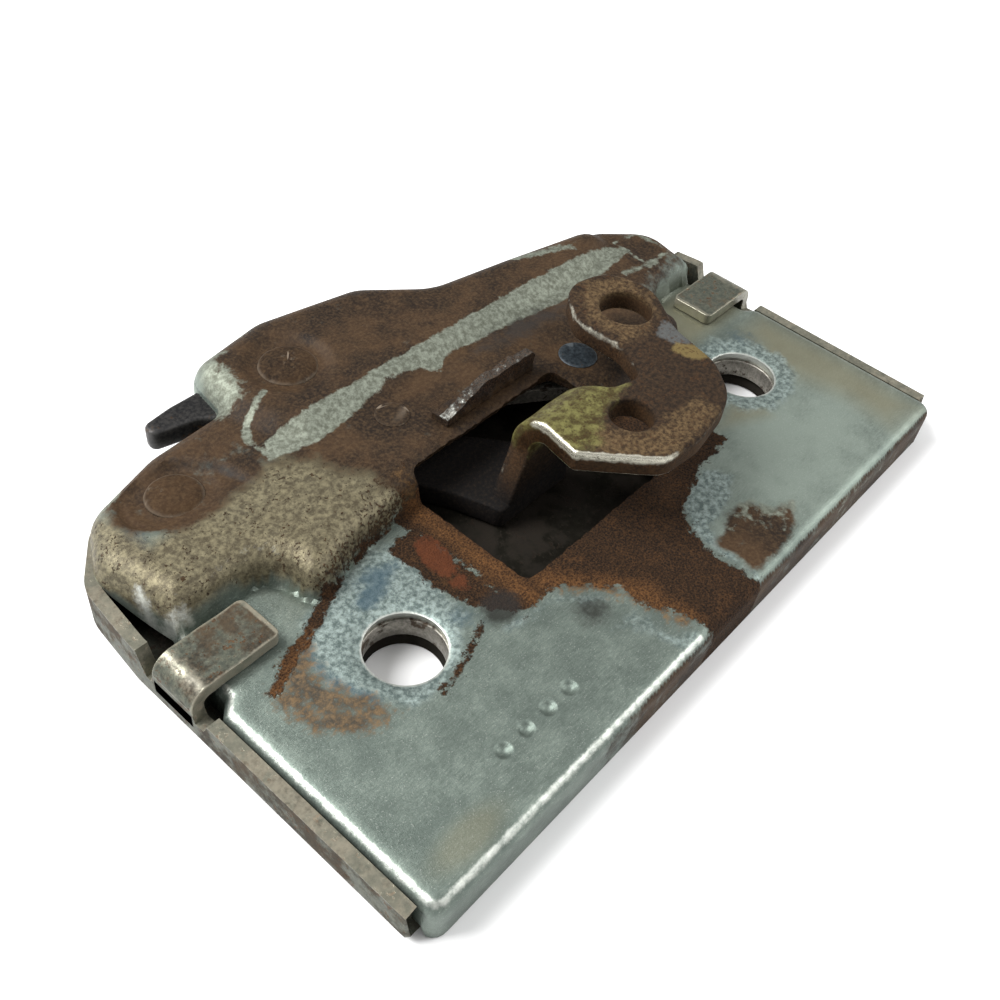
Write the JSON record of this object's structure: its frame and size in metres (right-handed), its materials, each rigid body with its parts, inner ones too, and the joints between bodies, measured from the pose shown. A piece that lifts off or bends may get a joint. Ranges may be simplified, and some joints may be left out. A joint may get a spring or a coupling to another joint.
{
  "type": "rim night latch",
  "caption": "Flat pressed-steel rim latch: two-shell case with two fixing holes, a swinging claw at the top edge and a cranked release lever standing up through a slot.",
  "frame": {"origin": "on the back face, midway between the two fixing holes", "axes": "+X along the front edge to the right, +Y from the front edge towards the claw and hump, +Z out of the cover towards the lever"},
  "size_m": [0.0951, 0.0651, 0.016],
  "materials": {
    "zinc_sheet": "zinc-plated pressed sheet, worn and rust-stained",
    "passivated_steel": "yellow-passivated plate, rusty with bright worn edges",
    "black_steel": "black satin",
    "bright_steel": "dull turned steel",
    "spring_steel": "oiled spring wire",
    "rubber": "matte"
  },
  "bodies": {
    "case": {"cover": "zinc_sheet", "back_tray": "zinc_sheet", "screw_spacers": "bright_steel", "claw_pivot_rivet": "bright_steel", "claw_lower_washer": "bright_steel", "claw_spring": "spring_steel", "stop_pin": "bright_steel", "stop_buffer": "rubber", "pawl_pivot_rivet": "bright_steel", "pawl_lower_washer": "bright_steel", "pawl_spring": "spring_steel", "lever_pivot_rivet": "bright_steel", "lever_upper_sleeve": "bright_steel", "lever_spring": "spring_steel", "link_pivot_rivet": "bright_steel", "link_lower_sleeve": "bright_steel", "link_upper_washer": "bright_steel"},
    "claw": {"claw": "black_steel"},
    "pawl": {"pawl": "bright_steel"},
    "release_lever": {"release_lever": "passivated_steel", "lever_foot_plate": "passivated_steel", "lever_stud": "bright_steel"},
    "link_lever": {"link_lever": "bright_steel"}
  },
  "joints": [
    {"name": "claw_swing", "type": "hinge", "parent": "case", "child": "claw", "pos_m": [-0.0147, 0.0349, 0.0063], "axis": [0, 0, -1], "range_deg": [0, 45], "stiffness_Nm_per_rad": 0.01, "springref_deg": -28.65},
    {"name": "lever_pull", "type": "hinge", "parent": "case", "child": "release_lever", "pos_m": [-0.0113, 0.0214, 0.0031], "axis": [0, 0, 1], "range_deg": [0, 12], "stiffness_Nm_per_rad": 0.04, "springref_deg": -17.19},
    {"name": "pawl_swing", "type": "hinge", "parent": "case", "child": "pawl", "pos_m": [-0.0357, 0.0283, 0.0058], "axis": [0, 0, -1], "range_deg": [0, 23]},
    {"name": "link_swing", "type": "hinge", "parent": "case", "child": "link_lever", "pos_m": [0.0129, 0.0139, 0.006], "axis": [0, 0, -1], "range_deg": [0, 10]}
  ],
  "couplings": [
    {"joint": "pawl_swing", "follows": "lever_pull", "ratio": 1.9},
    {"joint": "link_swing", "follows": "lever_pull", "ratio": 0.78}
  ]
}
